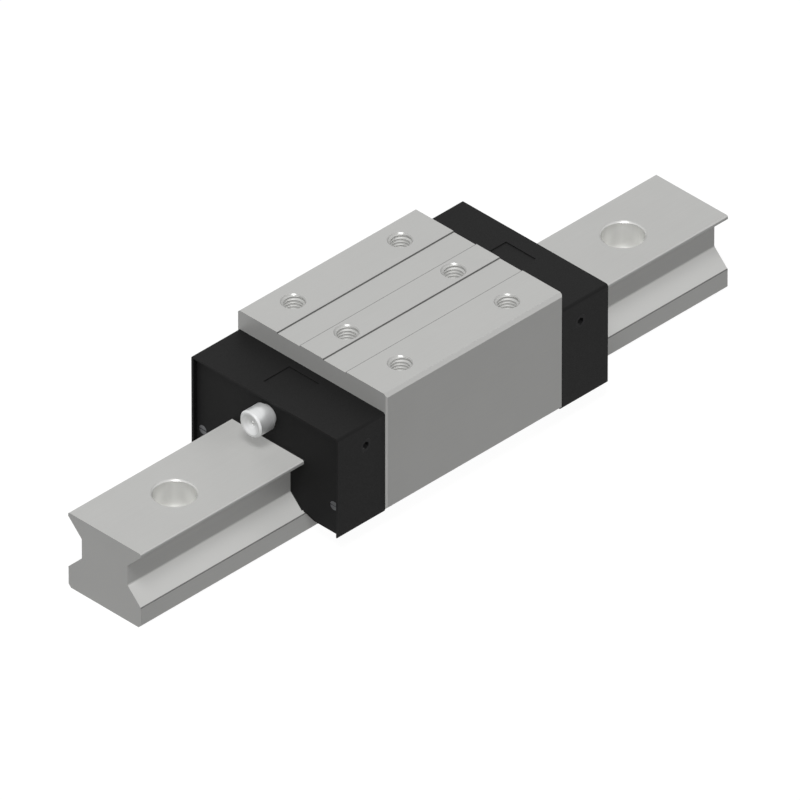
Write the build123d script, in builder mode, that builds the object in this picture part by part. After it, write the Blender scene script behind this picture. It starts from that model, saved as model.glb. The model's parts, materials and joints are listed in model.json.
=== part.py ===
from build123d import *
from math import hypot, radians, sqrt, tan
import os

# Linear guide with four crossed circuits of cylindrical rollers, two in each flank of the carriage.
# +X runs along the rail, +Z is up, and the origin is the middle of the rail's underside.
# The front end, -X, carries the grease nipple. Left is +Y.

# Rail
rail_length = 275.0
rail_width = 34.0
rail_height = 30.0
rail_top_chamfer = 0.4
rail_top_land = 1.0  # upright strip between the top chamfer and the upper raceway
rail_foot_chamfer = 1.2
raceway_depth = 6.3  # how far the 45 degree raceways cut into each flank
raceway_foot_height = 8.2  # where the lower raceways leave the flanks
neck_corner_radius = 0.8
rail_hole_count = 5
rail_hole_pitch = 52.5
rail_hole_diameter = 9.0
rail_counterbore_diameter = 15.0
rail_counterbore_depth = 12.0
rail_counterbore_chamfer = 0.5

# Steel body of the carriage
assembly_height = 55.0  # rail's underside to the carriage's mounting face
carriage_width = 70.0
body_length = 82.5
body_underside = 8.5
body_top_chamfer = 1.2
body_end_chamfer = 0.5
body_foot_chamfer = 0.8
roof_gap = 1.6  # air between the rail's top and the body
pad_groove_width = 10.5
pad_groove_depth = 0.4
centre_pad_width = 11.0
mounting_hole_diameter = 8.0  # M8
mounting_hole_depth = 13.0
mounting_hole_chamfer = 0.4
mounting_pitch_x = 50.0
mounting_pitch_y = 25.0
mounting_x_count = 2
mounting_y_count = 3
drill_point_angle = 118.0
countersink_angle = 90.0

# Rollers, their raceways in the body and their way round
roller_diameter = 4.5
roller_length = 6.0
roller_pitch = 7.9
roller_play = 0.03  # between a roller and each raceway
raceway_land = 0.35  # raceway beyond a roller's end
pocket_reach = 0.6  # retainer pocket beyond the raceway
ridge_flat = 3.0  # flat nose between the two raceways of a flank
track_play = 0.1  # round a roller's diameter, in tubes and turns
track_side_play = 0.15  # beside a roller's end
upper_turn_radius = 6.6
lower_turn_radius = 8.8
crossing_wall = 0.7  # between the two turns where they cross
tube_wall = 0.6
spacer_thickness = 2.6
spacer_height = 3.6
spacer_end_play = 0.3

# Retainer strips and seals
retainer_clearance = 0.5
retainer_roof_reach = 3.5  # how far the upper strips lap over the rail's top
bottom_seal_thickness = 1.0
bottom_seal_width = 10.0
lip_clearance = 0.25
top_seal_width = 22.0
top_seal_thickness = 0.8
top_seal_lip = 1.2
end_seal_thickness = 1.3
end_seal_setback = 1.7  # behind the cap's face, inside its rim
seal_fit = 0.05

# End caps
cap_depth = 22.0
cap_width = 68.6
cap_top = 47.5
cap_underside = 7.5
cap_corner_radius = 1.0
cap_rim = 0.9
cap_rail_clearance = 1.0
cap_flare_width = 4.0
cap_flare_height = 1.3
cap_dimple_length = 12.0
cap_dimple_width = 14.0
cap_dimple_depth = 0.3
guide_cheek = 2.5  # turn guide beyond the lower track, on each side
guide_fit = 0.05

# Cap screws, M2.5, and seal screws, M2 with countersunk heads
cap_screw_diameter = 2.5
cap_screw_head_diameter = 4.5
cap_screw_head_height = 2.0
cap_screw_grip = 6.0  # thread in the steel body
cap_screw_socket = 2.0
cap_screw_socket_depth = 1.2
upper_cap_screw_reach = 9.0  # from the rail's side
upper_cap_screw_rise = 2.9  # above the body's roof
lower_cap_screw_reach = 12.65  # from the rail's side
lower_cap_screw_rise = 1.8  # above the body's underside
seal_screw_diameter = 2.0
seal_screw_head_diameter = 3.4
seal_screw_length = 6.0
seal_screw_slot = 0.5
seal_screw_slot_depth = 0.5
seal_screw_inset = 3.6  # from the cap's side
seal_screw_height = 18.4
screw_fit = 0.05

# Lubrication ports
port_diameter = 6.0
port_height = 40.0
port_depth = 12.0
port_plug_length = 7.0
port_plug_socket = 3.0
channel_diameter = 3.0
side_port_diameter = 5.0
side_port_length = 3.5
side_port_socket = 2.5
side_port_height = 39.0
side_port_setback = 9.0  # from the steel body's end
plug_socket_depth = 1.8
nipple_diameter = 10.0
nipple_reach = 6.8  # beyond the cap's face
nipple_collar_diameter = 7.6
nipple_shank = 6.0
nipple_edge = 0.6
nipple_funnel_diameter = 7.6
nipple_funnel_depth = 1.2
nipple_throat_diameter = 2.2
nipple_throat_length = 0.5
nipple_bore_diameter = 2.0
ball_diameter = 3.0
ball_play = 0.08
ball_travel = 0.8
ball_spring_room = 2.0

# Places that follow from the sizes above
diagonal = sqrt(0.5)
raceway_head_height = rail_height - rail_top_chamfer - rail_top_land
raceway_middle_y = rail_width / 2 - raceway_depth / 2
raceway_middle_z = {
    "upper": raceway_head_height - raceway_depth / 2,
    "lower": raceway_foot_height + raceway_depth / 2,
}
row_sign = {"upper": 1, "lower": -1}
turn_radius = {"upper": upper_turn_radius, "lower": lower_turn_radius}
middle_height = (raceway_head_height + raceway_foot_height) / 2
raceway_gap = roller_diameter + 2 * roller_play
row_centre = raceway_gap / 2
track_width = roller_diameter + 2 * track_play
track_length = roller_length + 2 * track_side_play
raceway_end = roller_length / 2 + raceway_land
roof_height = rail_height + roof_gap
body_end = body_length / 2
cap_face = body_end + cap_depth
seal_face = cap_face - end_seal_setback
cap_seat = seal_face - end_seal_thickness
tube_diameter = hypot(track_width, track_length) + 2 * tube_wall
rail_side = rail_width / 2
neck_side = rail_side - raceway_depth
upper_cap_screw = (rail_side + upper_cap_screw_reach, roof_height + upper_cap_screw_rise)
lower_cap_screw = (rail_side + lower_cap_screw_reach, body_underside + lower_cap_screw_rise)
seal_screw_spot = (cap_width / 2 - seal_screw_inset, seal_screw_height)


def row_point(row, along, out):
    """Point of the left flank's cross-section beside the rail's raceway of that row.

    along runs on the raceway from its middle, away from the neck, and out runs square to it, off the rail.
    """
    y = raceway_middle_y + (along + out) * diagonal
    z = raceway_middle_z[row] + row_sign[row] * (along - out) * diagonal
    return y, z


def roller_axis(row):
    """Direction of the rollers' axes, which is also the direction of along."""
    return Vector(0, diagonal, row_sign[row] * diagonal)


def out_direction(row):
    """Direction square to the raceway, off the rail, towards the return bore."""
    return Vector(0, diagonal, -row_sign[row] * diagonal)


def turn_centre(row):
    return row_point(row, 0, row_centre + turn_radius[row])


def return_centre(row):
    return row_point(row, 0, row_centre + 2 * turn_radius[row])


# The lower row's turn starts further out, so that it passes outside the upper row's turn.
crossing_out = (raceway_middle_z["upper"] - raceway_middle_z["lower"]) * diagonal - row_centre
lower_core_radius = lower_turn_radius - track_width / 2
crossing_edge = lower_turn_radius - (crossing_out - track_length / 2)
crossing_drop = sqrt(max(lower_core_radius**2 - crossing_edge**2, 0))
turn_offset = {
    "upper": 0.0,
    "lower": upper_turn_radius + track_width / 2 + crossing_wall - crossing_drop,
}


def rail_profile(clearance=0.0):
    """Cross-section of the rail, grown by a clearance, with width on x and height on y."""
    with BuildSketch() as profile:
        with BuildLine():
            Polyline(
                (0, 0),
                (rail_side - rail_foot_chamfer, 0),
                (rail_side, rail_foot_chamfer),
                (rail_side, raceway_foot_height),
                (neck_side, raceway_foot_height + raceway_depth),
                (neck_side, raceway_head_height - raceway_depth),
                (rail_side, raceway_head_height),
                (rail_side, raceway_head_height + rail_top_land),
                (rail_side - rail_top_chamfer, rail_height),
                (0, rail_height),
            )
            mirror(about=Plane.YZ)
        make_face()
        if clearance:
            offset(amount=clearance, kind=Kind.INTERSECTION)
    return profile.sketch_local


def rail_opening(clearance):
    """The rail's profile grown by a clearance, with a flared foot, as a cap or a seal needs it."""
    flare_start = rail_side + clearance
    with BuildSketch() as opening:
        add(rail_profile(clearance))
        with BuildLine():
            Polyline(
                (0, cap_underside + cap_flare_height),
                (flare_start, cap_underside + cap_flare_height),
                (flare_start + cap_flare_width, cap_underside),
                (0, cap_underside),
            )
            mirror(about=Plane.YZ)
        make_face()
    return opening.sketch_local


pocket_wall = row_point("upper", raceway_end, raceway_gap)[0] + pocket_reach
ridge_apex = raceway_middle_y + raceway_gap / diagonal - (raceway_middle_z["upper"] - middle_height)
ridge_nose = ridge_apex + ridge_flat / 2


def channel_profile():
    """Clear opening of the steel body: retainer pockets, four raceways and the ridges between them."""
    lower_end = row_point("lower", raceway_end, raceway_gap)
    upper_end = row_point("upper", raceway_end, raceway_gap)
    with BuildSketch() as profile:
        with BuildLine():
            Polyline(
                (0, body_underside),
                (pocket_wall, body_underside),
                (pocket_wall, lower_end[1]),
                lower_end,
                (ridge_nose, middle_height - ridge_flat / 2),
                (ridge_nose, middle_height + ridge_flat / 2),
                upper_end,
                (pocket_wall, upper_end[1]),
                (pocket_wall, roof_height),
                (0, roof_height),
            )
            mirror(about=Plane.YZ)
        make_face()
    return profile.sketch_local


def mirrored_spots(*spots):
    """The same places on the left and the right flank."""
    return [(side * y, z) for y, z in spots for side in (1, -1)]


def finish(part, name):
    """Names a finished piece and writes it."""
    part.label = name
    export_step(part, f"parts/{name}.step")


os.makedirs("parts", exist_ok=True)

# Rail: one ground bar with two 45 degree raceways in each flank
with BuildPart() as rail:
    with BuildSketch(Plane.YZ.offset(-rail_length / 2)):
        add(rail_profile())
    extrude(amount=rail_length)
    neck_edges = rail.edges().filter_by(Axis.X).filter_by(
        lambda edge: abs(abs(edge.center().Y) - neck_side) < neck_corner_radius / 2
    )
    fillet(neck_edges, radius=neck_corner_radius)
    with Locations((0, 0, rail_height)):
        with GridLocations(rail_hole_pitch, 0, rail_hole_count, 1):
            CounterBoreHole(rail_hole_diameter / 2, rail_counterbore_diameter / 2, rail_counterbore_depth)
    mouths = rail.edges().filter_by(GeomType.CIRCLE).group_by(Axis.Z)[-1]
    chamfer(mouths, length=rail_counterbore_chamfer)
finish(rail.part, "rail")

# A tapped hole of the mounting face, with its mouth at the origin
with BuildPart() as mounting_hole:
    with BuildSketch(Plane.XZ):
        hole_radius = mounting_hole_diameter / 2
        drill_point = hole_radius / tan(radians(drill_point_angle / 2))
        with BuildLine():
            Polyline(
                (0, 0),
                (hole_radius + mounting_hole_chamfer, 0),
                (hole_radius, -mounting_hole_chamfer),
                (hole_radius, -mounting_hole_depth),
                (0, -mounting_hole_depth - drill_point),
                close=True,
            )
        make_face()
    revolve(axis=Axis.Z)

# Steel body: a saddle over the rail, bored for the rollers' return tubes
with BuildPart() as carriage_body:
    with BuildSketch(Plane.YZ.offset(-body_end)) as body_outline:
        with Locations((0, (body_underside + assembly_height) / 2)):
            Rectangle(carriage_width, assembly_height - body_underside)
        chamfer(body_outline.vertices().group_by(Axis.Y)[-1], length=body_top_chamfer)
        chamfer(body_outline.vertices().group_by(Axis.Y)[0], length=body_foot_chamfer)
        groove_middle = (centre_pad_width + pad_groove_width) / 2
        with Locations((groove_middle, assembly_height), (-groove_middle, assembly_height)):
            Rectangle(pad_groove_width, 2 * pad_groove_depth, mode=Mode.SUBTRACT)
    extrude(amount=body_length)
    upright = carriage_body.edges().filter_by(Axis.Z).group_by(Axis.Y)
    chamfer(upright[0] + upright[-1], length=body_end_chamfer)
    with BuildSketch(Plane.YZ.offset(-body_end)):
        add(channel_profile())
        with Locations(*mirrored_spots(return_centre("upper"), return_centre("lower"))):
            Circle(tube_diameter / 2)
    extrude(amount=body_length, mode=Mode.SUBTRACT)
    with Locations((0, 0, assembly_height)):
        with GridLocations(mounting_pitch_x, mounting_pitch_y, mounting_x_count, mounting_y_count):
            add(mounting_hole.part, mode=Mode.SUBTRACT)
    for end in (-1, 1):
        with BuildSketch(Plane.YZ.offset(end * body_end)):
            with Locations(*mirrored_spots(upper_cap_screw, lower_cap_screw)):
                Circle(cap_screw_diameter / 2 + screw_fit)
        extrude(amount=-end * (cap_screw_grip + screw_fit), mode=Mode.SUBTRACT)
finish(carriage_body.part, "carriage_body")


def track_plane(row, x):
    """Plane square to the rail with x on the way out from the rail and its origin at the turn's centre."""
    y, z = turn_centre(row)
    return Plane(origin=(x, y, z), x_dir=out_direction(row), z_dir=(1, 0, 0))


def turn_track(row):
    """Space for the rollers in the rear left turn: two straight stubs and a half ring."""
    radius = turn_radius[row]
    start = body_end + turn_offset[row]
    y, z = turn_centre(row)
    with BuildPart() as track:
        if turn_offset[row] > 0:
            with BuildSketch(track_plane(row, body_end)):
                with Locations((-radius, 0), (radius, 0)):
                    Rectangle(track_width, track_length)
            extrude(amount=turn_offset[row])
        with BuildSketch(track_plane(row, start)):
            with Locations((-radius, 0)):
                Rectangle(track_width, track_length)
        swing = out_direction(row).cross(Vector(1, 0, 0))
        revolve(axis=Axis((start, y, z), swing), revolution_arc=-180)
    return track.part


def guide_body(growth=0.0):
    """Core of the rear left turns: straight cheeks and a half round, on which the lower row turns."""
    radius = lower_core_radius + growth
    offset_length = turn_offset["lower"]
    y, z = turn_centre("lower")
    out = out_direction("lower")
    across = out.cross(Vector(1, 0, 0))
    with BuildPart() as guide:
        with BuildSketch(Plane(origin=(body_end, y, z), x_dir=out, z_dir=across)):
            with BuildLine():
                Polyline((-radius, offset_length), (-radius, 0), (radius, 0), (radius, offset_length))
                ThreePointArc((-radius, offset_length), (0, offset_length + radius), (radius, offset_length))
            make_face()
        extrude(amount=track_length / 2 + guide_cheek + growth, both=True)
    return guide.part


tracks = {row: turn_track(row) for row in row_sign}

# Turn guides: one in each end of each flank, with a tunnel for the upper row under the lower row's turn
with BuildPart() as turn_guide:
    add(guide_body())
    add(tracks["upper"], mode=Mode.SUBTRACT)

# End caps: moulded housings of the turns, ports and screws, here the rear one
with BuildPart() as end_cap:
    with BuildSketch(Plane.YZ.offset(body_end)) as cap_profile:
        with Locations((0, (cap_underside + cap_top) / 2)):
            Rectangle(cap_width, cap_top - cap_underside)
        fillet(cap_profile.vertices(), radius=cap_corner_radius)
        add(rail_opening(cap_rail_clearance), mode=Mode.SUBTRACT)
    extrude(amount=cap_depth)
    with BuildSketch(Plane.YZ.offset(cap_seat)):
        seat_top = cap_top - cap_rim
        with Locations((0, (cap_underside + seat_top) / 2 - cap_rim / 2)):
            Rectangle(cap_width - 2 * cap_rim, seat_top - cap_underside + cap_rim)
    extrude(amount=cap_face - cap_seat, mode=Mode.SUBTRACT)
    with BuildSketch(Plane.XY.offset(cap_top)):
        with Locations(((body_end + cap_seat) / 2, 0)):
            Rectangle(cap_dimple_length, cap_dimple_width)
    extrude(amount=-cap_dimple_depth, mode=Mode.SUBTRACT)
    for void in (tracks["upper"], tracks["lower"], guide_body(guide_fit)):
        add(void, mode=Mode.SUBTRACT)
        mirror(void, about=Plane.XZ, mode=Mode.SUBTRACT)
    with BuildSketch(Plane.YZ.offset(body_end)):
        with Locations(*mirrored_spots(upper_cap_screw, lower_cap_screw)):
            Circle(cap_screw_diameter / 2 + screw_fit)
    extrude(amount=cap_depth, mode=Mode.SUBTRACT)
    with BuildSketch(Plane.YZ.offset(cap_seat)):
        with Locations(*mirrored_spots(upper_cap_screw, lower_cap_screw)):
            Circle(cap_screw_head_diameter / 2 + screw_fit)
    extrude(amount=-cap_screw_head_height, mode=Mode.SUBTRACT)
    with BuildSketch(Plane.YZ.offset(cap_seat)):
        with Locations((0, port_height)):
            Circle(port_diameter / 2 + screw_fit)
    extrude(amount=-port_depth, mode=Mode.SUBTRACT)
    with BuildSketch(Plane.YZ.offset(cap_seat)):
        with Locations(*mirrored_spots(seal_screw_spot)):
            Circle(seal_screw_diameter / 2 + screw_fit)
    extrude(amount=end_seal_thickness - seal_screw_length - screw_fit, mode=Mode.SUBTRACT)
    port_x = body_end + side_port_setback
    with BuildSketch(Plane.XZ):
        with Locations((port_x, side_port_height)):
            Circle(channel_diameter / 2)
    extrude(amount=cap_width / 2, both=True, mode=Mode.SUBTRACT)
    for side in (-1, 1):
        with BuildSketch(Plane.XZ.offset(side * cap_width / 2)):
            with Locations((port_x, side_port_height)):
                Circle(side_port_diameter / 2 + screw_fit)
        extrude(amount=-side * side_port_length, mode=Mode.SUBTRACT)

# End seals: plates set back inside the caps' rims, which wipe the whole rail profile, here the rear one
with BuildPart() as end_seal:
    with BuildSketch(Plane.YZ.offset(cap_seat)):
        plate_top = cap_top - cap_rim - seal_fit
        with Locations((0, (cap_underside + plate_top) / 2)):
            Rectangle(cap_width - 2 * cap_rim - 2 * seal_fit, plate_top - cap_underside)
        add(rail_opening(lip_clearance), mode=Mode.SUBTRACT)
        with Locations((0, port_height)):
            Circle(port_diameter / 2 + screw_fit, mode=Mode.SUBTRACT)
    extrude(amount=end_seal_thickness)
    seal_holes = [Plane(origin=(seal_face, y, z), z_dir=(1, 0, 0)) for y, z in mirrored_spots(seal_screw_spot)]
    with Locations(*seal_holes):
        CounterSinkHole(
            seal_screw_diameter / 2 + screw_fit,
            seal_screw_head_diameter / 2 + screw_fit,
            counter_sink_angle=countersink_angle,
        )

# Cap screws of the rear end, hidden behind the seal
with BuildPart() as cap_screws:
    head_seat = cap_seat - cap_screw_head_height
    with BuildSketch(Plane.YZ.offset(head_seat)):
        with Locations(*mirrored_spots(upper_cap_screw, lower_cap_screw)):
            Circle(cap_screw_head_diameter / 2)
    extrude(amount=cap_screw_head_height)
    with BuildSketch(Plane.YZ.offset(head_seat)):
        with Locations(*mirrored_spots(upper_cap_screw, lower_cap_screw)):
            Circle(cap_screw_diameter / 2)
    extrude(amount=body_end - cap_screw_grip - head_seat)
    with BuildSketch(Plane.YZ.offset(cap_seat)):
        with Locations(*mirrored_spots(upper_cap_screw, lower_cap_screw)):
            RegularPolygon(cap_screw_socket / 2, 6, major_radius=False)
    extrude(amount=-cap_screw_socket_depth, mode=Mode.SUBTRACT)

# Seal screws of the rear end, flush with the seal
cone_length = (seal_screw_head_diameter - seal_screw_diameter) / 2 / tan(radians(countersink_angle / 2))
with BuildPart() as seal_screws:
    for y, z in mirrored_spots(seal_screw_spot):
        with BuildSketch(Plane(origin=(0, y, z), x_dir=(1, 0, 0), z_dir=(0, -1, 0))):
            with BuildLine():
                Polyline(
                    (seal_face - seal_screw_length, 0),
                    (seal_face, 0),
                    (seal_face, seal_screw_head_diameter / 2),
                    (seal_face - cone_length, seal_screw_diameter / 2),
                    (seal_face - seal_screw_length, seal_screw_diameter / 2),
                    close=True,
                )
            make_face()
        revolve(axis=Axis((0, y, z), (1, 0, 0)))
    with BuildSketch(Plane.YZ.offset(seal_face)):
        with Locations(*mirrored_spots(seal_screw_spot)):
            Rectangle(seal_screw_head_diameter, seal_screw_slot)
    extrude(amount=-seal_screw_slot_depth, mode=Mode.SUBTRACT)

# Both ends are alike, so the front pieces mirror the rear ones, and the right guides mirror the left ones
for piece, name in ((end_cap, "end_cap"), (end_seal, "end_seal"), (cap_screws, "cap_screws"),
                    (seal_screws, "seal_screws")):
    finish(piece.part, f"{name}_rear")
    with BuildPart() as front_piece:
        mirror(piece.part, about=Plane.YZ)
    finish(front_piece.part, f"{name}_front")

for side_name, side_planes in (("left", ()), ("right", (Plane.XZ,))):
    for end_name, end_planes in (("rear", ()), ("front", (Plane.YZ,))):
        placed = turn_guide.part
        for plane in side_planes + end_planes:
            with BuildPart() as turned_guide:
                mirror(placed, about=plane)
            placed = turned_guide.part
        finish(placed, f"turn_guide_{end_name}_{side_name}")


def circuit_loop(row):
    """Closed centre line of a left circuit: loaded run, turn, return run and turn."""
    y, z = turn_centre(row)
    out = out_direction(row)
    plane = Plane(origin=(0, y, z), x_dir=(1, 0, 0), z_dir=Vector(1, 0, 0).cross(out))
    with BuildSketch(plane) as loop:
        SlotCenterToCenter(body_length + 2 * turn_offset[row], 2 * turn_radius[row])
    return loop.sketch.faces()[0].outer_wire()


def finish_sides(part, name):
    """Writes a left piece and its mirror image."""
    finish(part, f"{name}_left")
    with BuildPart() as right_piece:
        mirror(part, about=Plane.XZ)
    finish(right_piece.part, f"{name}_right")


# Roller circuits: return tube, rollers and the spacers between them
for row in row_sign:
    y, z = return_centre(row)
    out = out_direction(row)
    with BuildPart() as return_tube:
        with BuildSketch(Plane(origin=(-body_end, y, z), x_dir=out, z_dir=(1, 0, 0))):
            Circle(tube_diameter / 2)
            Rectangle(track_width, track_length, mode=Mode.SUBTRACT)
        extrude(amount=body_length)
    finish_sides(return_tube.part, f"return_tube_{row}")

    loop = circuit_loop(row)
    roller_count = int(loop.length / roller_pitch)
    places = [i / roller_count for i in range(roller_count)]
    roller_planes = [Plane(origin=loop @ t, z_dir=roller_axis(row)) for t in places]
    with BuildPart() as rollers:
        with Locations(*roller_planes):
            Cylinder(roller_diameter / 2, roller_length)
    finish_sides(rollers.part, f"rollers_{row}")

    halfway = [t + 0.5 / roller_count for t in places]
    spacer_planes = [Plane(origin=loop @ t, x_dir=loop % t, z_dir=roller_axis(row)) for t in halfway]
    with BuildPart() as spacers:
        with Locations(*spacer_planes):
            Box(spacer_thickness, spacer_height, roller_length - 2 * spacer_end_play)
    finish_sides(spacers.part, f"roller_spacers_{row}")


def track_window(row):
    """Strip of the cross-section that a row of rollers needs, from inside the rail to inside the body."""
    side = track_length / 2
    corners = ((-side, -raceway_gap), (side, -raceway_gap), (side, 2 * raceway_gap), (-side, 2 * raceway_gap))
    with BuildSketch() as window:
        with BuildLine():
            Polyline(*[row_point(row, along, out) for along, out in corners], close=True)
        make_face()
    return window.sketch_local


def retainer(name, low_y, high_y, low_z, high_z):
    """Strip that fills a region of the channel beside the rail and keeps the rollers' ends."""
    with BuildPart() as strip:
        with BuildSketch(Plane.YZ.offset(-body_end)):
            with Locations(((low_y + high_y) / 2, (low_z + high_z) / 2)):
                Rectangle(high_y - low_y, high_z - low_z)
            add(rail_profile(retainer_clearance), mode=Mode.SUBTRACT)
            for row in row_sign:
                add(track_window(row), mode=Mode.SUBTRACT)
        extrude(amount=body_length)
    finish_sides(strip.part, name)


lower_pocket_top = row_point("lower", raceway_end, raceway_gap)[1]
upper_pocket_foot = row_point("upper", raceway_end, raceway_gap)[1]
retainer("upper_retainer", rail_side - retainer_roof_reach, pocket_wall, upper_pocket_foot, roof_height)
retainer("middle_retainer", neck_side, ridge_nose, lower_pocket_top, upper_pocket_foot)
retainer("lower_retainer", rail_side - raceway_depth / 2, pocket_wall, body_underside, lower_pocket_top)

# Bottom seals: strips under the body that wipe the rail's sides
with BuildPart() as bottom_seal:
    with BuildSketch(Plane.YZ.offset(-body_end)):
        lip = rail_side + lip_clearance
        with Locations((lip + bottom_seal_width / 2, body_underside - bottom_seal_thickness / 2)):
            Rectangle(bottom_seal_width, bottom_seal_thickness)
    extrude(amount=body_length)
finish_sides(bottom_seal.part, "bottom_seal")

# Top seal: a strip under the body's roof with two lips on the rail's top
with BuildPart() as top_seal:
    with BuildSketch(Plane.YZ.offset(-body_end)):
        lip_foot = rail_height + lip_clearance
        base_foot = roof_height - top_seal_thickness
        with BuildLine():
            Polyline(
                (0, roof_height),
                (top_seal_width / 2, roof_height),
                (top_seal_width / 2, lip_foot),
                (top_seal_width / 2 - top_seal_lip, base_foot),
                (0, base_foot),
            )
            mirror(about=Plane.YZ)
        make_face()
    extrude(amount=body_length)
finish(top_seal.part, "top_seal")


def socket_plug(plane, diameter, length, socket):
    """Grub screw that closes a port, with its hexagon socket in the outer end at the plane's origin."""
    with BuildPart() as plug:
        with BuildSketch(plane):
            Circle(diameter / 2)
        extrude(amount=-length)
        with BuildSketch(plane):
            RegularPolygon(socket / 2, 6, major_radius=False)
        extrude(amount=-plug_socket_depth, mode=Mode.SUBTRACT)
    return plug.part


rear_port = Plane(origin=(seal_face, 0, port_height), z_dir=(1, 0, 0))
finish(socket_plug(rear_port, port_diameter, port_plug_length, port_plug_socket), "rear_port_plug")

side_ports = [
    Plane(origin=(end * port_x, side * cap_width / 2, side_port_height), z_dir=(0, side, 0))
    for end in (-1, 1)
    for side in (-1, 1)
]
with BuildPart() as side_port_plugs:
    for plane in side_ports:
        add(socket_plug(plane, side_port_diameter, side_port_length, side_port_socket))
finish(side_port_plugs.part, "side_port_plugs")

# Grease nipple in the front cap, seated on the seal: funnel, throat, ball chamber and bore on one axis
nipple_axis = Axis((0, 0, port_height), (1, 0, 0))
nipple_mouth = -cap_face - nipple_reach
throat_start = nipple_mouth + nipple_funnel_depth
chamber_start = throat_start + nipple_throat_length
ball_set_back = sqrt((ball_diameter / 2) ** 2 - (nipple_throat_diameter / 2) ** 2)
chamber_length = ball_set_back + ball_diameter / 2 + ball_travel + ball_spring_room
nipple_end = -seal_face + nipple_shank
with BuildPart() as grease_nipple:
    with BuildSketch(Plane(origin=(0, 0, port_height), x_dir=(1, 0, 0), z_dir=(0, -1, 0))):
        with BuildLine():
            Polyline(
                (nipple_mouth, nipple_funnel_diameter / 2),
                (nipple_mouth, nipple_diameter / 2 - nipple_edge),
                (nipple_mouth + nipple_edge, nipple_diameter / 2),
                (-cap_face, nipple_diameter / 2),
                (-cap_face, nipple_collar_diameter / 2),
                (-seal_face, nipple_collar_diameter / 2),
                (-seal_face, port_diameter / 2),
                (nipple_end, port_diameter / 2),
                (nipple_end, nipple_bore_diameter / 2),
                (chamber_start + chamber_length, nipple_bore_diameter / 2),
                (chamber_start + chamber_length, ball_diameter / 2 + ball_play),
                (chamber_start, ball_diameter / 2 + ball_play),
                (chamber_start, nipple_throat_diameter / 2),
                (throat_start, nipple_throat_diameter / 2),
                close=True,
            )
        make_face()
    revolve(axis=nipple_axis)
finish(grease_nipple.part, "grease_nipple")

with BuildPart() as nipple_ball:
    with Locations((chamber_start + ball_set_back + ball_play / 2, 0, port_height)):
        Sphere(ball_diameter / 2)
finish(nipple_ball.part, "nipple_ball")
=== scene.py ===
import json
import math

import bmesh
import bpy
import numpy as np
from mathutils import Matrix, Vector


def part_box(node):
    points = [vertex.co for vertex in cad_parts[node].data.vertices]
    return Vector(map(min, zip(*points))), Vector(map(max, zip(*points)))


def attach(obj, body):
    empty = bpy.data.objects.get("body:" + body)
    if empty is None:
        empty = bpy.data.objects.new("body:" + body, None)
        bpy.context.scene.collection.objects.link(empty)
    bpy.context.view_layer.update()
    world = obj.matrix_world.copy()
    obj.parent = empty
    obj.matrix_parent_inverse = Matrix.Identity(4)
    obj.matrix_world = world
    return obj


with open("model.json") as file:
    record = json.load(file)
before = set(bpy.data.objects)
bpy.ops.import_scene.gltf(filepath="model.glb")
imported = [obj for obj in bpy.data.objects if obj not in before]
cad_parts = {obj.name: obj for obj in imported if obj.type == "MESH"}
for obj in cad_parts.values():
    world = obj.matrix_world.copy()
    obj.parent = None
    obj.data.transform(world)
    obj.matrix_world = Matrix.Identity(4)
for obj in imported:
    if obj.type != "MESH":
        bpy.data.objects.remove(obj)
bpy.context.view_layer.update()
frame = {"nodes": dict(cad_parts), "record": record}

# The looks of a roller linear guide, in metres, with +X along the rail and +Z up

bl_info = {
    "name": "Roller linear guide",
    "version": (1, 0, 0),
    "blender": (4, 5, 0),
    "location": "View3D > Sidebar > Guide",
    "description": "Finishes, threads, seal lips, floor, light and camera of a roller linear guide",
    "category": "Object",
}

MM = 0.001
MOUNTS = {mount["name"]: mount for mount in frame["record"]["mounts"]}
# The rail's counterbores with 0.1 mm of the face round them, so that their rims take the painted highlight
# too
COUNTERBORE_RADIUS = 7.6 * MM
# Painted shade lines along edges: the axis across the edge and its place there, then the axis and place
# beyond which it runs
PAD_SHADE_LINES = (("Y", 5.5 * MM, "Z", 54.5 * MM), ("Y", 16.0 * MM, "Z", 54.5 * MM))
FOOT_SHADE_LINES = (("Z", 8.2 * MM, "Y", 16.8 * MM), ("Z", 0.0, "Y", 15.5 * MM))


def linear(code):
    """Turns an sRGB hex colour into linear red, green and blue."""
    channels = [int(code[i : i + 2], 16) / 255 for i in (1, 3, 5)]
    return [c / 12.92 if c <= 0.04045 else ((c + 0.055) / 1.055) ** 2.4 for c in channels]


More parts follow.
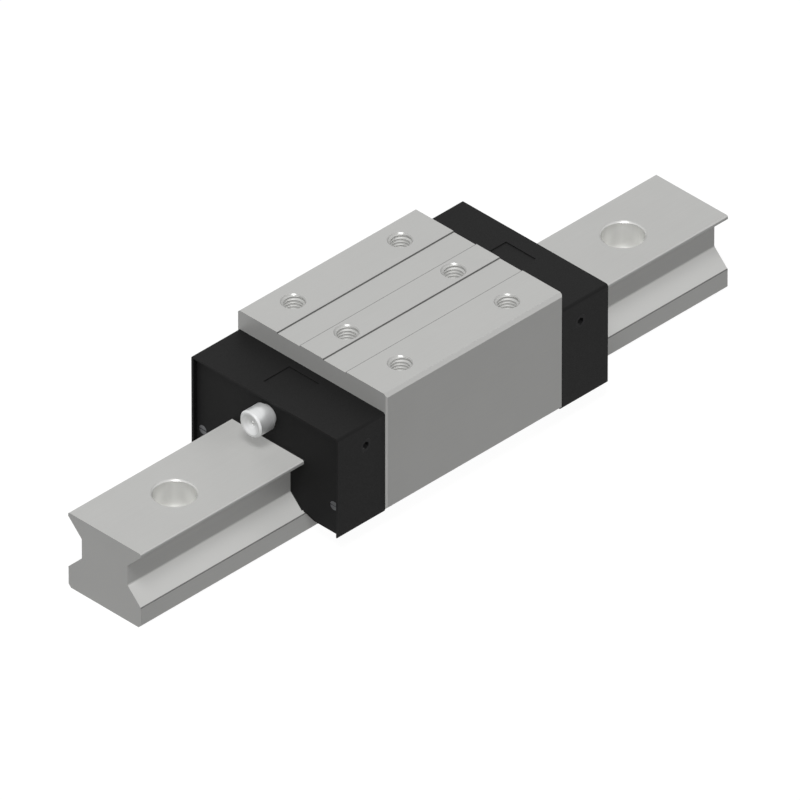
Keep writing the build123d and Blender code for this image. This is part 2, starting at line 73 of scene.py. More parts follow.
class GuideStageSettings(bpy.types.PropertyGroup):
    """Floor, light and camera."""

    floor_size: bpy.props.FloatProperty(
        name="Floor size",
        description="Side of the square floor",
        default=4.0,
        min=0.5,
        subtype="DISTANCE",
        unit="LENGTH",
    )
    floor_tone: bpy.props.FloatProperty(
        name="Floor tone",
        description="Share of the light that the floor gives back",
        default=0.2,
        subtype="FACTOR",
    )
    floor_glow: bpy.props.FloatProperty(
        name="Floor glow",
        description="Added to the floor, so that it is seen white where no shadow lies",
        default=0.87,
    )
    fill: bpy.props.FloatProperty(
        name="Fill light", description="Strength of the sky on the object", default=0.04, subtype="FACTOR"
    )
    lamp_size: bpy.props.FloatProperty(
        name="Lamp size",
        description="Side of the square lamp",
        default=3.15,
        subtype="DISTANCE",
        unit="LENGTH",
    )
    lamp_distance: bpy.props.FloatProperty(
        name="Lamp distance",
        description="From the object to the lamp",
        default=9.0,
        subtype="DISTANCE",
        unit="LENGTH",
    )
    key_power: bpy.props.FloatProperty(
        name="Key power",
        description="Power of the large lamp above the camera",
        default=729.0,
        subtype="POWER",
        unit="POWER",
    )
    key_direction: bpy.props.FloatVectorProperty(
        name="Key direction",
        description="From the object towards the lamp",
        default=(-0.4, -0.3, 1.0),
        subtype="XYZ",
    )
    shadow_share: bpy.props.FloatProperty(
        name="Shadow share",
        description="Share of the lamp's light that casts a shadow",
        default=0.4,
        subtype="FACTOR",
    )
    back_power: bpy.props.FloatProperty(
        name="Back power",
        description="Power of the lamp opposite the camera",
        default=144.0,
        subtype="POWER",
        unit="POWER",
    )
    back_direction: bpy.props.FloatVectorProperty(
        name="Back direction",
        description="Below the horizon, so that it puts no shine on the tops",
        default=(1.0, 1.0, -0.3),
        subtype="XYZ",
    )
    azimuth: bpy.props.FloatProperty(
        name="Azimuth",
        description="Camera's way round the object",
        default=math.radians(-45),
        subtype="ANGLE",
        unit="ROTATION",
    )
    elevation: bpy.props.FloatProperty(
        name="Elevation",
        description="Camera's height as an angle, that of an isometric drawing",
        default=math.atan(math.sqrt(0.5)),
        subtype="ANGLE",
        unit="ROTATION",
    )
    camera_distance: bpy.props.FloatProperty(
        name="Camera distance",
        description="Far away, so that parallel edges stay nearly parallel",
        default=12.0,
        subtype="DISTANCE",
        unit="LENGTH",
    )
    view_width: bpy.props.FloatProperty(
        name="View width",
        description="Width that the picture spans at the object",
        default=0.2651,
        subtype="DISTANCE",
        unit="LENGTH",
    )
    aim: bpy.props.FloatVectorProperty(
        name="Aim",
        description="Point in the middle of the picture",
        default=(0.0, 0.0, 0.015),
        subtype="XYZ",
        unit="LENGTH",
    )


class GuideFinishSettings(bpy.types.PropertyGroup):
    """Colours and grain of the finishes."""

    ground_colour: bpy.props.FloatVectorProperty(
        name="Ground steel",
        description="Rail and steel body",
        default=linear("#C6C6C4"),
        subtype="COLOR",
        size=3,
    )
    # Lighter than the ground steel for the honing, and in part painted light that lifts the shade under the
    # rail's head
    raceway_colour_and_light: bpy.props.FloatVectorProperty(
        name="Honed raceways with painted light",
        description="The rail's 45 degree faces",
        default=linear("#D1D1CF"),
        subtype="COLOR",
        size=3,
    )
    # Painted light: much lighter than the ground steel, to lift the shade in the rail's counterbores and to
    # put a painted highlight on their rims
    bore_colour: bpy.props.FloatVectorProperty(
        name="Bores with painted light",
        description="Counterbores and holes",
        default=linear("#E4E4E2"),
        subtype="COLOR",
        size=3,
    )
    # Painted shade: the colour of thin dark lines laid along some edges of the pads and of the rail's foot
    edge_shade_colour: bpy.props.FloatVectorProperty(
        name="Painted edge shade",
        description="Edges of the ground pads",
        default=linear("#737372"),
        subtype="COLOR",
        size=3,
    )
    shade_line_width: bpy.props.FloatProperty(
        name="Edge line",
        description="Width of a painted shade line",
        default=0.4 * MM,
        subtype="DISTANCE",
        unit="LENGTH",
    )
    thread_colour: bpy.props.FloatVectorProperty(
        name="Cut threads", description="Tapped holes", default=linear("#BCBCBA"), subtype="COLOR", size=3
    )
    roller_colour: bpy.props.FloatVectorProperty(
        name="Roller steel",
        description="Rollers and check ball",
        default=linear("#D6D6D5"),
        subtype="COLOR",
        size=3,
    )
    zinc_colour: bpy.props.FloatVectorProperty(
        name="Zinc plate",
        description="Grease nipple and seal screws",
        default=linear("#E6E7E7"),
        subtype="COLOR",
        size=3,
    )
    small_colour: bpy.props.FloatVectorProperty(
        name="Dull zinc", description="Seal screws", default=linear("#646567"), subtype="COLOR", size=3
    )
    oxide_colour: bpy.props.FloatVectorProperty(
        name="Black oxide",
        description="Plugs and cap screws",
        default=linear("#0C0C0D"),
        subtype="COLOR",
        size=3,
    )
    cap_colour: bpy.props.FloatVectorProperty(
        name="Cap plastic", description="End caps", default=linear("#111111"), subtype="COLOR", size=3
    )
    rubber_colour: bpy.props.FloatVectorProperty(
        name="Seal rubber",
        description="Seals and their lips",
        default=linear("#191919"),
        subtype="COLOR",
        size=3,
    )
    guide_colour: bpy.props.FloatVectorProperty(
        name="Guide plastic",
        description="Inner guides and tubes",
        default=linear("#3C3D40"),
        subtype="COLOR",
        size=3,
    )
    grinding_line: bpy.props.FloatProperty(
        name="Grinding line",
        description="Width of a grinding line",
        default=0.35 * MM,
        subtype="DISTANCE",
        unit="LENGTH",
    )
    mould_grain: bpy.props.FloatProperty(
        name="Mould grain",
        description="Grain of the spark-eroded mould",
        default=0.3 * MM,
        subtype="DISTANCE",
        unit="LENGTH",
    )
    turning_line: bpy.props.FloatProperty(
        name="Turning line",
        description="Feed of the lathe",
        default=0.2 * MM,
        subtype="DISTANCE",
        unit="LENGTH",
    )


class GuideThreadSettings(bpy.types.PropertyGroup):
    """The tapped holes of the mounting face, M8."""

    pitch: bpy.props.FloatProperty(
        name="Pitch",
        description="M8 coarse",
        default=1.25 * MM,
        subtype="DISTANCE",
        unit="LENGTH",
    )
    mouth: bpy.props.FloatProperty(
        name="Mouth",
        description="From the face to the first thread",
        default=0.6 * MM,
        subtype="DISTANCE",
        unit="LENGTH",
    )
    length: bpy.props.FloatProperty(
        name="Length",
        description="Length of full thread",
        default=11.0 * MM,
        subtype="DISTANCE",
        unit="LENGTH",
    )
    steps: bpy.props.IntProperty(name="Steps", description="Facets in a turn", default=40, min=12)


class GuideSealSettings(bpy.types.PropertyGroup):
    """The lips of the end seals."""

    start: bpy.props.FloatProperty(
        name="Start",
        description="Height where the lip's straight part starts",
        default=9.2 * MM,
        subtype="DISTANCE",
        unit="LENGTH",
    )
    reach: bpy.props.FloatProperty(
        name="Reach",
        description="How far the lip stands out of the seal",
        default=0.4 * MM,
        subtype="DISTANCE",
        unit="LENGTH",
    )
    root_gap: bpy.props.FloatProperty(
        name="Root gap",
        description="From the rail to the lip's root",
        default=0.35 * MM,
        subtype="DISTANCE",
        unit="LENGTH",
    )
    tip_gap: bpy.props.FloatProperty(
        name="Tip gap",
        description="From the rail to the lip's tip",
        default=0.05 * MM,
        subtype="DISTANCE",
        unit="LENGTH",
    )
    thickness: bpy.props.FloatProperty(
        name="Thickness",
        description="Of the lip at its root",
        default=0.25 * MM,
        subtype="DISTANCE",
        unit="LENGTH",
    )


def add_node(tree, kind, inputs=None, **settings):
    """Adds a node with its settings; each input is a value, or an output to link."""
    made = tree.nodes.new(kind)
    for name, value in settings.items():
        setattr(made, name, value)
    for key, value in (inputs or {}).items():
        if isinstance(value, bpy.types.NodeSocket):
            tree.links.new(value, made.inputs[key])
        else:
            made.inputs[key].default_value = value
    return made


def start_material(name):
    """An empty material and its node tree."""
    made = bpy.data.materials.new(name)
    made.use_nodes = True
    made.node_tree.nodes.clear()
    return made, made.node_tree


def end_material(tree, shader):
    """Joins the shader to the material's output."""
    add_node(tree, "ShaderNodeOutputMaterial", {"Surface": shader.outputs[0]})


def shade(colour, factor):
    """A colour made darker or lighter, for the two ends of a faint pattern."""
    return (*[channel * factor for channel in colour], 1.0)


def math_node(tree, operation, *values):
    """Output of a math node."""
    return add_node(tree, "ShaderNodeMath", dict(enumerate(values)), operation=operation).outputs[0]


def blend(tree, factor, first, second):
    """Output of a mix of two colours."""
    inputs = {"Factor": factor, "A": first, "B": second}
    return add_node(tree, "ShaderNodeMix", inputs, data_type="RGBA").outputs[2]


def between(tree, factor, first, second):
    """Output of a mix of two numbers."""
    return add_node(tree, "ShaderNodeMix", {"Factor": factor, "A": first, "B": second}).outputs[0]


def noise(tree, place, scale, detail=2.0, roughness=0.5):
    """Output of a noise texture at a place; its values lie round 0.5."""
    inputs = {"Vector": place, "Scale": scale, "Detail": detail, "Roughness": roughness}
    return add_node(tree, "ShaderNodeTexNoise", inputs).outputs[0]


def stretched(tree, place, scale):
    """Place scaled by its own factor along each axis, which draws a noise out into lines."""
    return add_node(tree, "ShaderNodeMapping", {"Vector": place, "Scale": scale}).outputs[0]


def spread(tree, value, low, high):
    """The middle part of a noise turned into a range of roughness."""
    inputs = {"Value": value, "From Min": 0.3, "From Max": 0.7, "To Min": low, "To Max": high}
    return add_node(tree, "ShaderNodeMapRange", inputs).outputs[0]


def near_edge(tree, place, edge, width):
    """1 within half a width of a straight edge and of its mirror image."""
    axis, at, other_axis, beyond = edge
    axes = add_node(tree, "ShaderNodeSeparateXYZ", {"Vector": place}).outputs
    near = math_node(tree, "COMPARE", math_node(tree, "ABSOLUTE", axes[axis]), at, width / 2)
    past = math_node(tree, "GREATER_THAN", math_node(tree, "ABSOLUTE", axes[other_axis]), beyond)
    return math_node(tree, "MULTIPLY", near, past)


def near_holes(tree, place, first, pitches, radius):
    """1 within a radius of the axes of a pattern of upright holes."""
    start = add_node(tree, "ShaderNodeVectorMath", {0: place, 1: (*first, 0.0)}, operation="SUBTRACT")
    axes = add_node(tree, "ShaderNodeSeparateXYZ", {"Vector": start.outputs[0]}).outputs
    offsets = [math_node(tree, "WRAP", axes[i], pitch / 2, -pitch / 2) for i, pitch in enumerate(pitches)]
    across = add_node(tree, "ShaderNodeCombineXYZ", {"X": offsets[0], "Y": offsets[1]})
    away = add_node(tree, "ShaderNodeVectorMath", {0: across.outputs[0]}, operation="LENGTH")
    return math_node(tree, "LESS_THAN", away.outputs["Value"], radius)


def ground_steel(name, finish, holes, edges, slope_colour, bore_colour, bore_metallic):
    """Hardened bearing steel, surface ground along the rail and honed on its raceways.

    It gives a satin grey with a broad soft sheen and faint straight lines along X. The lines are drawn
    about five times as coarse as a grinding wheel leaves them, so that they show. The slopes are honed, and
    on the rail their lighter colour is in part painted light that lifts the shade under the rail's head.
    The bores are glossier, and on the rail their much lighter colour is painted light that lifts the shade
    in the counterbores, with a painted highlight on their rims. Thin dark lines along some edges of the
    ground faces are painted shade. Metallic is far below a real metal's, because the drawing shows the
    steel as an even grey that mirrors nothing.
    """
    made, tree = start_material(name)
    place = add_node(tree, "ShaderNodeTexCoord").outputs["Object"]
    line, line_stretch = finish.grinding_line, 80
    along = stretched(tree, place, (1 / (line_stretch * line), 1 / line, 1 / line))
    lines = noise(tree, along, 1.0, 3.0, 0.6)
    cloud_size = 18 * MM
    clouds = noise(tree, place, 1 / cloud_size)
    cloud_share = 0.35
    both = between(tree, cloud_share, lines, clouds)
    normal = add_node(tree, "ShaderNodeNewGeometry").outputs["Normal"]
    upward = add_node(tree, "ShaderNodeSeparateXYZ", {"Vector": normal}).outputs["Z"]
    slope_upward, slope_tolerance = math.sqrt(0.5), 0.06
    slope = math_node(tree, "COMPARE", math_node(tree, "ABSOLUTE", upward), slope_upward, slope_tolerance)
    base = finish.ground_colour
    tone = blend(tree, both, shade(base, 0.93), shade(base, 1.07))
    # The 45 degree faces take the slope colour; on the rail its extra lightness is in part painted light
    # against the shade under the head
    tone = blend(tree, slope, tone, shade(slope_colour, 1))
    # Painted shade: a thin dark line along each listed edge
    for edge in edges:
        shade_line_mask = near_edge(tree, place, edge, finish.shade_line_width)
        tone = blend(tree, shade_line_mask, tone, shade(finish.edge_shade_colour, 1))
    # Painted light on the rail: its bores and their rims take a much lighter colour that lifts their shade;
    # the body's bores take the thread colour
    bore = near_holes(tree, place, *holes)
    tone = blend(tree, bore, tone, shade(bore_colour, 1))
    ground_metallic, honed_roughness, bore_roughness = 0.06, 0.3, 0.25
    grain = spread(tree, lines, 0.38, 0.5)
    honed = between(tree, slope, grain, honed_roughness)
    line_depth = 0.004 * MM
    bump = add_node(tree, "ShaderNodeBump", {"Strength": 0.5, "Distance": line_depth, "Height": lines})
    shader = add_node(
        tree,
        "ShaderNodeBsdfPrincipled",
        {
            "Base Color": tone,
            "Metallic": between(tree, bore, ground_metallic, bore_metallic),
            "Specular IOR Level": 0.3,
            "Roughness": between(tree, bore, honed, bore_roughness),
            "Normal": bump.outputs[0],
        },
    )
    end_material(tree, shader)
    return made


def turned_metal(name, colour, metallic, roughness, line, gloss=0.5):
    """Plated or blackened steel turned on a lathe along X: fine rings that catch the light."""
    made, tree = start_material(name)
    place = add_node(tree, "ShaderNodeTexCoord").outputs["Object"]
    ring_stretch = 40
    across = 1 / (ring_stretch * line)
    rings = noise(tree, stretched(tree, place, (1 / line, across, across)), 1.0)
    shader = add_node(
        tree,
        "ShaderNodeBsdfPrincipled",
        {
            "Base Color": blend(tree, rings, shade(colour, 0.92), shade(colour, 1.08)),
            "Metallic": metallic,
            "Roughness": spread(tree, rings, roughness - 0.06, roughness + 0.06),
            "Specular IOR Level": gloss,
        },
    )
    end_material(tree, shader)
    return made


def moulded(name, colour, roughness, gloss, grain, depth):
    """Moulded plastic or rubber: one even colour, with the fine grain that the mould left."""
    made, tree = start_material(name)
    place = add_node(tree, "ShaderNodeTexCoord").outputs["Object"]
    grains = noise(tree, place, 1 / grain)
    flow_size = 25 * MM
    flow = noise(tree, place, 1 / flow_size, 3.0)
    bump = add_node(tree, "ShaderNodeBump", {"Strength": 0.6, "Distance": depth, "Height": grains})
    shader = add_node(
        tree,
        "ShaderNodeBsdfPrincipled",
        {
            "Base Color": blend(tree, flow, shade(colour, 0.85), shade(colour, 1.15)),
            "Roughness": spread(tree, grains, roughness - 0.08, roughness + 0.08),
            "Specular IOR Level": gloss,
            "Normal": bump.outputs[0],
        },
    )
    end_material(tree, shader)
    return made


def dress(material, *nodes):
    """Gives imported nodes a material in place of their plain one."""
    for node in nodes:
        mesh = frame["nodes"][node].data
        mesh.materials.clear()
        mesh.materials.append(material)


def surface(name, points, tube=False):
    """Mesh object of a grid of points, rows by columns.

    Each quad joins two neighbours of one row to those of the next. In a tube the last column is joined to
    the first, and a face closes each end.
    """
    rows, columns = points.shape[:2]
    row, column = np.meshgrid(
        np.arange(rows - 1), np.arange(columns if tube else columns - 1), indexing="ij"
    )
    next_column = (column + 1) % columns
    corners = [
        row * columns + column,
        (row + 1) * columns + column,
        (row + 1) * columns + next_column,
        row * columns + next_column,
    ]
    faces = np.stack(corners, axis=-1).reshape(-1, 4).tolist()
    if tube:
        first = np.arange(columns)
        last = first + (rows - 1) * columns
        faces += [first.tolist(), last[::-1].tolist()]
    mesh = bpy.data.meshes.new(name)
    mesh.from_pydata(points.reshape(-1, 3).tolist(), [], faces)
    mesh.validate()
    mesh.update()
    made = bpy.data.objects.new(name, mesh)
    bpy.context.scene.collection.objects.link(made)
    return made


def outward(made):
    """Turns the faces of a closed piece outwards."""
    shape = bmesh.new()
    shape.from_mesh(made.data)
    bmesh.ops.recalc_face_normals(shape, faces=shape.faces)
    shape.to_mesh(made.data)
    shape.free()


def hole_spots():
    """Middles of the tapped holes' mouths, from the record's bolt patterns."""
    spots = []
    for name in ("carriage_corner_bolts", "carriage_centre_bolts"):
        mount = MOUNTS[name]
        half_x = mount["dims"]["spacing_x_mm"] * MM / 2
        # The centre pattern has one row, so both of its y are 0 and the set holds one
        half_y = mount["dims"].get("spacing_y_mm", 0.0) * MM / 2
        for x in (-half_x, half_x):
            for y in sorted({-half_y, half_y}):
                spots.append(Vector(mount["pos_m"]) + Vector((x, y, 0)))
    return spots


def thread(name, spot, radius, settings):
    """Thread of a tapped hole.

    A 60 degree ridge is carried down a helix: the angle grows evenly, the height falls by one pitch a turn,
    and over the first and last quarter turn the ridge grows out of the wall and sinks into it again.
    """
    pitch = settings.pitch
    turns = settings.length / pitch
    angle = np.linspace(0, 2 * math.pi * turns, int(turns * settings.steps) + 1)
    height = -settings.mouth - pitch * angle / (2 * math.pi)
    run_out, least = math.pi / 2, 0.02
    grown = np.clip(np.minimum(angle, angle[-1] - angle) / run_out, least, 1)
    sunk = 0.01 * MM
    wall = radius + sunk
    # The metric profile, as shares of the pitch: the ridge's depth, and half its width at root and crest
    depth = 0.5413 * pitch + sunk
    reach = wall - depth * grown
    root_half = 7 / 16 * pitch
    crest_half = pitch / 8
    ring = [(wall, root_half), (reach, crest_half), (reach, -crest_half), (wall, -root_half)]
    across, back = np.cos(angle), np.sin(angle)
    columns = [np.stack([across * r, back * r, height + up * grown], axis=-1) for r, up in ring]
    points = np.stack(columns, axis=1) + np.array(spot)
    made = surface(name, points, tube=True)
    outward(made)
    return made


def rail_outline(start):
    """The rail's own outline above a height, as points (y, z) from left to right over the top.

    The corners of its end face are sorted by their angle round its middle. The first point lies where the
    outline passes the height, in proportion between the corners below and above, and the right half is the
    mirror image of the left.
    """
    rail = frame["nodes"]["rail"].data
    co = np.empty(len(rail.vertices) * 3)
    rail.vertices.foreach_get("co", co)
    co = co.reshape(-1, 3)
    same_place, digits = 0.001 * MM, 7
    end = co[np.abs(co[:, 0] - co[:, 0].min()) < same_place][:, 1:]
    end = np.unique(np.round(end, digits), axis=0)
    middle = end[:, 1].max() / 2
    end = end[np.argsort(np.arctan2(end[:, 1] - middle, end[:, 0]))]
    left = end[end[:, 0] > 0]
    foot = left[left[:, 1] <= start][-1]
    above = left[left[:, 1] > start]
    share = (start - foot[1]) / (above[0, 1] - foot[1])
    first = foot + share * (above[0] - foot)
    half = np.vstack([first, above])
    return np.vstack([half, half[::-1] * (-1, 1)])


def offset_outline(outline, gap):
    """The outline moved off the rail by a gap.

    Each corner goes along the mean of its two sides' normals, lengthened so that both sides keep the gap.
    """
    side = np.diff(outline, axis=0)
    side /= np.linalg.norm(side, axis=1)[:, None]
    normal = np.stack([side[:, 1], -side[:, 0]], axis=-1)
    before = np.vstack([normal[:1], normal])
    after = np.vstack([normal, normal[-1:]])
    corner = (before + after) / (1 + np.sum(before * after, axis=1))[:, None]
    return outline + corner * gap


def seal_lip(name, face_x, way, settings):
    """Lip of an end seal: a thin wedge carried round the rail's outline.

    Each corner of the wedge's section is given by its distance off the rail and that out of the seal.
    The root lies two thicknesses deep in the seal, and the tip is blunted.
    """
    outline = rail_outline(settings.start)
    root, tip, thick = settings.root_gap, settings.tip_gap, settings.thickness
    section = [
        (root, -2 * thick),
        (root, -0.1 * thick),
        (tip + 0.1 * thick, settings.reach),
        (tip, settings.reach - 0.2 * thick),
        (root - thick, -2 * thick),
    ]
    rings = []
    for gap, out in section:
        flat = offset_outline(outline, gap)
        rings.append(np.column_stack([np.full(len(flat), face_x + way * out), flat]))
    points = np.stack(rings, axis=1)
    made = surface(name, points, tube=True)
    outward(made)
    return made


class GUIDE_OT_build_stage(bpy.types.Operator):
    """Makes the floor, the light and the camera"""

    bl_idname = "guide.build_stage"
    bl_label = "Build stage"

    def execute(self, context):
        stage = context.scene.guide_stage
        scene = context.scene
        scene.view_settings.view_transform = "Standard"
        self.make_world(scene, stage)
        self.make_floor(stage)
        # The part of the key without a shadow lights recesses evenly, as in a drawing
        shadowed = stage.key_power * stage.shadow_share
        self.make_lamp(stage, "key_lamp", stage.key_direction, shadowed, True)
        self.make_lamp(stage, "flat_lamp", stage.key_direction, stage.key_power - shadowed, False)
        self.make_lamp(stage, "back_lamp", stage.back_direction, stage.back_power, False)
        self.make_camera(scene, stage)
        return {"FINISHED"}

    def seen(self, tree):
        """1 for rays that show the background: straight from the camera, mirrored or passed through."""
        path = add_node(tree, "ShaderNodeLightPath").outputs
        mirrored = math_node(tree, "MAXIMUM", path["Is Camera Ray"], path["Is Glossy Ray"])
        return math_node(tree, "MAXIMUM", mirrored, path["Is Transmission Ray"])

    def make_world(self, scene, stage):
        """A sky that is seen white and lights the object only a little."""
        world = bpy.data.worlds.new("white_studio")
        world.use_nodes = True
        tree = world.node_tree
        tree.nodes.clear()
        white = add_node(tree, "ShaderNodeBackground", {"Color": (1, 1, 1, 1), "Strength": 1.0})
        fill = add_node(tree, "ShaderNodeBackground", {"Color": (1, 1, 1, 1), "Strength": stage.fill})
        mixed = add_node(
            tree, "ShaderNodeMixShader", {0: self.seen(tree), 1: fill.outputs[0], 2: white.outputs[0]}
        )
        add_node(tree, "ShaderNodeOutputWorld", {"Surface": mixed.outputs[0]})
        scene.world = world

    def make_floor(self, stage):
        """A flat square just under the object."""
        half = stage.floor_size / 2
        corners = np.array([[(-half, -half, 0), (-half, half, 0)], [(half, -half, 0), (half, half, 0)]])
        gap = 0.02 * MM
        floor = surface("floor", corners - (0, 0, gap))
        # Matt paper: no shine, and white by its glow, so that it throws little light up at the object
        made, tree = start_material("white_paper_floor")
        tone = stage.floor_tone
        paper = add_node(tree, "ShaderNodeBsdfDiffuse", {"Color": (tone, tone, tone, 1)})
        glow = add_node(tree, "ShaderNodeEmission", {"Color": (1, 1, 1, 1), "Strength": stage.floor_glow})
        lit = add_node(tree, "ShaderNodeAddShader", {0: paper.outputs[0], 1: glow.outputs[0]})
        mixed = add_node(
            tree, "ShaderNodeMixShader", {0: self.seen(tree), 1: paper.outputs[0], 2: lit.outputs[0]}
        )
        end_material(tree, mixed)
        floor.data.materials.append(made)

    def make_lamp(self, stage, name, direction, power, shadow):
        """A square lamp that faces the origin."""
        lamp = bpy.data.lights.new(name, "AREA")
        lamp.shape = "SQUARE"
        lamp.size = stage.lamp_size
        lamp.energy = power
        lamp.use_shadow = shadow
        made = bpy.data.objects.new(name, lamp)
        towards = Vector(direction).normalized()
        made.location = towards * stage.lamp_distance
        made.rotation_euler = towards.to_track_quat("Z", "Y").to_euler()
        bpy.context.scene.collection.objects.link(made)

    def make_camera(self, scene, stage):
        """The camera stands at its two angles and its distance, and its lens spans the view's width."""
        data = bpy.data.cameras.new("camera")
        data.lens = data.sensor_width * stage.camera_distance / stage.view_width
        data.clip_end = 3 * stage.camera_distance
        camera = bpy.data.objects.new("camera", data)
        level = math.cos(stage.elevation)
        back = Vector(
            (math.sin(stage.azimuth) * level, -math.cos(stage.azimuth) * level, math.sin(stage.elevation))
        )
        camera.location = Vector(stage.aim) + back * stage.camera_distance
        camera.rotation_mode = "QUATERNION"
        camera.rotation_quaternion = back.to_track_quat("Z", "Y")
        scene.collection.objects.link(camera)
        scene.camera = camera


class GUIDE_OT_finish_steel(bpy.types.Operator):
    """Grinds the rail and the carriage's steel body"""

    bl_idname = "guide.finish_steel"
    bl_label = "Finish steel"

    def execute(self, context):
        finish = context.scene.guide_finish
        rail_pitch = MOUNTS["rail_inner_bolts"]["dims"]["spacing_x_mm"] / 2 * MM
        # One row of holes: the next row would be a metre away
        holes = (0.0, 0.0), (rail_pitch, 1.0), COUNTERBORE_RADIUS
        # On the rail the lighter slopes are in part painted light, and the much lighter bores are painted
        # light
        rail = ground_steel(
            "ground_rail_steel",
            finish,
            holes,
            FOOT_SHADE_LINES,
            slope_colour=finish.raceway_colour_and_light,
            bore_colour=finish.bore_colour,
            bore_metallic=0.4,
        )
        dress(rail, "rail")
        corners = MOUNTS["carriage_corner_bolts"]["dims"]
        pitches = (corners["spacing_x_mm"] * MM, corners["spacing_y_mm"] / 2 * MM)
        # A little wider than the holes, so that their chamfers are cut bright too
        holes = (pitches[0] / 2, 0.0), pitches, 1.1 * corners["hole_r_mm"] * MM
        body = ground_steel(
            "ground_body_steel",
            finish,
            holes,
            PAD_SHADE_LINES,
            slope_colour=finish.ground_colour,
            bore_colour=finish.thread_colour,
            bore_metallic=0.2,
        )
        dress(body, "carriage_body")
        return {"FINISHED"}


class GUIDE_OT_cut_threads(bpy.types.Operator):
    """Cuts the threads of the six mounting holes"""

    bl_idname = "guide.cut_threads"
    bl_label = "Cut threads"

    def execute(self, context):
        finish = context.scene.guide_finish
        # Cut by the tap and not hardened: bright steel with fine tool marks
        line = finish.turning_line
        cut = turned_metal("cut_thread_steel", finish.thread_colour, metallic=0.2, roughness=0.5, line=line)
        radius = MOUNTS["carriage_corner_bolts"]["dims"]["hole_r_mm"] * MM
        for number, spot in enumerate(hole_spots(), 1):
            made = thread(f"mounting_thread_{number}", spot, radius, context.scene.guide_thread)
            made.data.materials.append(cut)
            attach(made, "carriage")
        return {"FINISHED"}


class GUIDE_OT_finish_caps(bpy.types.Operator):
    """Gives the end caps their moulded plastic"""

    bl_idname = "guide.finish_caps"
    bl_label = "Finish caps"

    def execute(self, context):
        finish = context.scene.guide_finish
        # Glass-filled polyamide from a spark-eroded mould: deep black and matt, with a fine even grain
        grain = finish.mould_grain
        cap = moulded(
            "black_polyamide", finish.cap_colour, roughness=0.6, gloss=0.15, grain=grain, depth=0.02 * MM
        )
        dress(cap, "end_cap_front", "end_cap_rear")
        return {"FINISHED"}


class GUIDE_OT_make_seals(bpy.types.Operator):
    """Gives the seals their rubber and makes the lips that wipe the rail"""

    bl_idname = "guide.make_seals"
    bl_label = "Make seals"

    def execute(self, context):
        finish = context.scene.guide_finish
        # Pressed nitrile rubber: black with a dull bloom, a shade duller than the caps
        grain = 0.5 * finish.mould_grain
        rubber = moulded(
            "nitrile_rubber", finish.rubber_colour, roughness=0.7, gloss=0.14, grain=grain, depth=0.01 * MM
        )
        dress(rubber, "end_seal_front", "end_seal_rear", "top_seal")
        dress(rubber, "bottom_seal_left", "bottom_seal_right")
        for end, way in (("front", -1), ("rear", 1)):
            low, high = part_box(f"end_seal_{end}")
            face_x = low.x if way < 0 else high.x
            made = seal_lip(f"seal_lip_{end}", face_x, way, context.scene.guide_seal)
            made.data.materials.append(rubber)
            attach(made, "carriage")
        return {"FINISHED"}


class GUIDE_OT_finish_fasteners(bpy.types.Operator):
    """Finishes the screws and plugs"""

    bl_idname = "guide.finish_fasteners"
    bl_label = "Finish fasteners"

    def execute(self, context):
        finish = context.scene.guide_finish
        line = finish.turning_line
        # Black oxide on alloy steel, wiped dry: almost black and nearly as matt as the caps
        oxide = turned_metal(
            "black_oxide_steel", finish.oxide_colour, metallic=0.1, roughness=0.6, line=line, gloss=0.2
        )
        dress(oxide, "cap_screws_front", "cap_screws_rear", "rear_port_plug", "side_port_plugs")
        # Zinc-plated steel: pale, slightly blue and bright, with the rings of the lathe under the plate
        zinc = turned_metal(
            "zinc_plated_steel", finish.zinc_colour, metallic=0.5, roughness=0.35, line=line
        )
        dress(zinc, "grease_nipple")
        # Zinc plate dulled by a dark passivation: a smoky grey that still glints
        dull = turned_metal(
            "dark_passivated_zinc", finish.small_colour, metallic=0.5, roughness=0.4, line=line
        )
        dress(dull, "seal_screws_front", "seal_screws_rear")
        return {"FINISHED"}


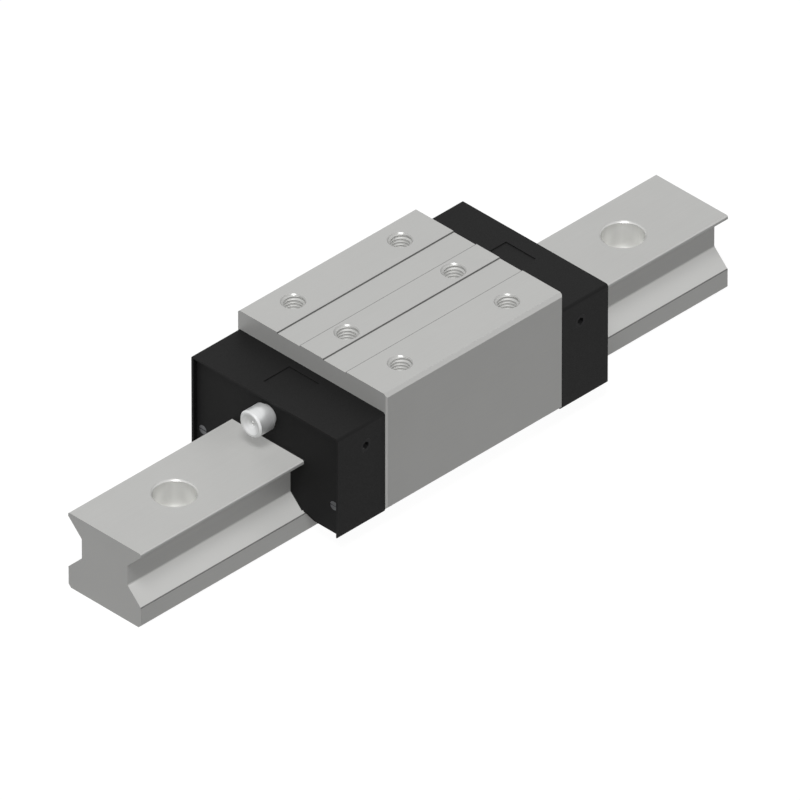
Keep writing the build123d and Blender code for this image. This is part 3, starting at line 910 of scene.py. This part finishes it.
class GUIDE_OT_finish_circuits(bpy.types.Operator):
    """Finishes the rollers and the plastic pieces that guide them"""

    bl_idname = "guide.finish_circuits"
    bl_label = "Finish circuits"

    def execute(self, context):
        finish = context.scene.guide_finish
        # Superfinished bearing steel: almost a mirror
        line, grain = finish.turning_line, finish.mould_grain
        roller = turned_metal(
            "superfinished_steel", finish.roller_colour, metallic=1.0, roughness=0.14, line=line
        )
        # Acetal, moulded smooth: dark grey with a waxy gloss
        acetal = moulded(
            "dark_acetal", finish.guide_colour, roughness=0.4, gloss=0.5, grain=grain, depth=0.003 * MM
        )
        guides = ("roller_spacers_", "return_tube_", "turn_guide_", "upper_", "middle_", "lower_")
        for node in frame["nodes"]:
            if node.startswith("rollers_") or node == "nipple_ball":
                dress(roller, node)
            elif node.startswith(guides):
                dress(acetal, node)
        return {"FINISHED"}


class GUIDE_PT_sidebar(bpy.types.Panel):
    """Lists the steps that dress the guide"""

    bl_idname = "GUIDE_PT_sidebar"
    bl_label = "Roller linear guide"
    bl_space_type = "VIEW_3D"
    bl_region_type = "UI"
    bl_category = "Guide"

    def draw(self, context):
        for operator in OPERATORS:
            self.layout.operator(operator.bl_idname)
        for group in GROUPS:
            settings = getattr(context.scene, group)
            for name in settings.bl_rna.properties.keys():
                if name not in ("rna_type", "name"):
                    self.layout.prop(settings, name)


GROUPS = {
    "guide_stage": GuideStageSettings,
    "guide_finish": GuideFinishSettings,
    "guide_thread": GuideThreadSettings,
    "guide_seal": GuideSealSettings,
}
OPERATORS = (
    GUIDE_OT_build_stage,
    GUIDE_OT_finish_steel,
    GUIDE_OT_cut_threads,
    GUIDE_OT_finish_caps,
    GUIDE_OT_make_seals,
    GUIDE_OT_finish_fasteners,
    GUIDE_OT_finish_circuits,
)


def register():
    for made in (*GROUPS.values(), *OPERATORS, GUIDE_PT_sidebar):
        bpy.utils.register_class(made)
    for name, group in GROUPS.items():
        setattr(bpy.types.Scene, name, bpy.props.PointerProperty(type=group))


def unregister():
    for name in GROUPS:
        delattr(bpy.types.Scene, name)
    for made in reversed((*GROUPS.values(), *OPERATORS, GUIDE_PT_sidebar)):
        bpy.utils.unregister_class(made)


def main():
    register()
    for operator in OPERATORS:
        family, step = operator.bl_idname.split(".")
        getattr(getattr(bpy.ops, family), step)()


if __name__ == "__main__":
    main()
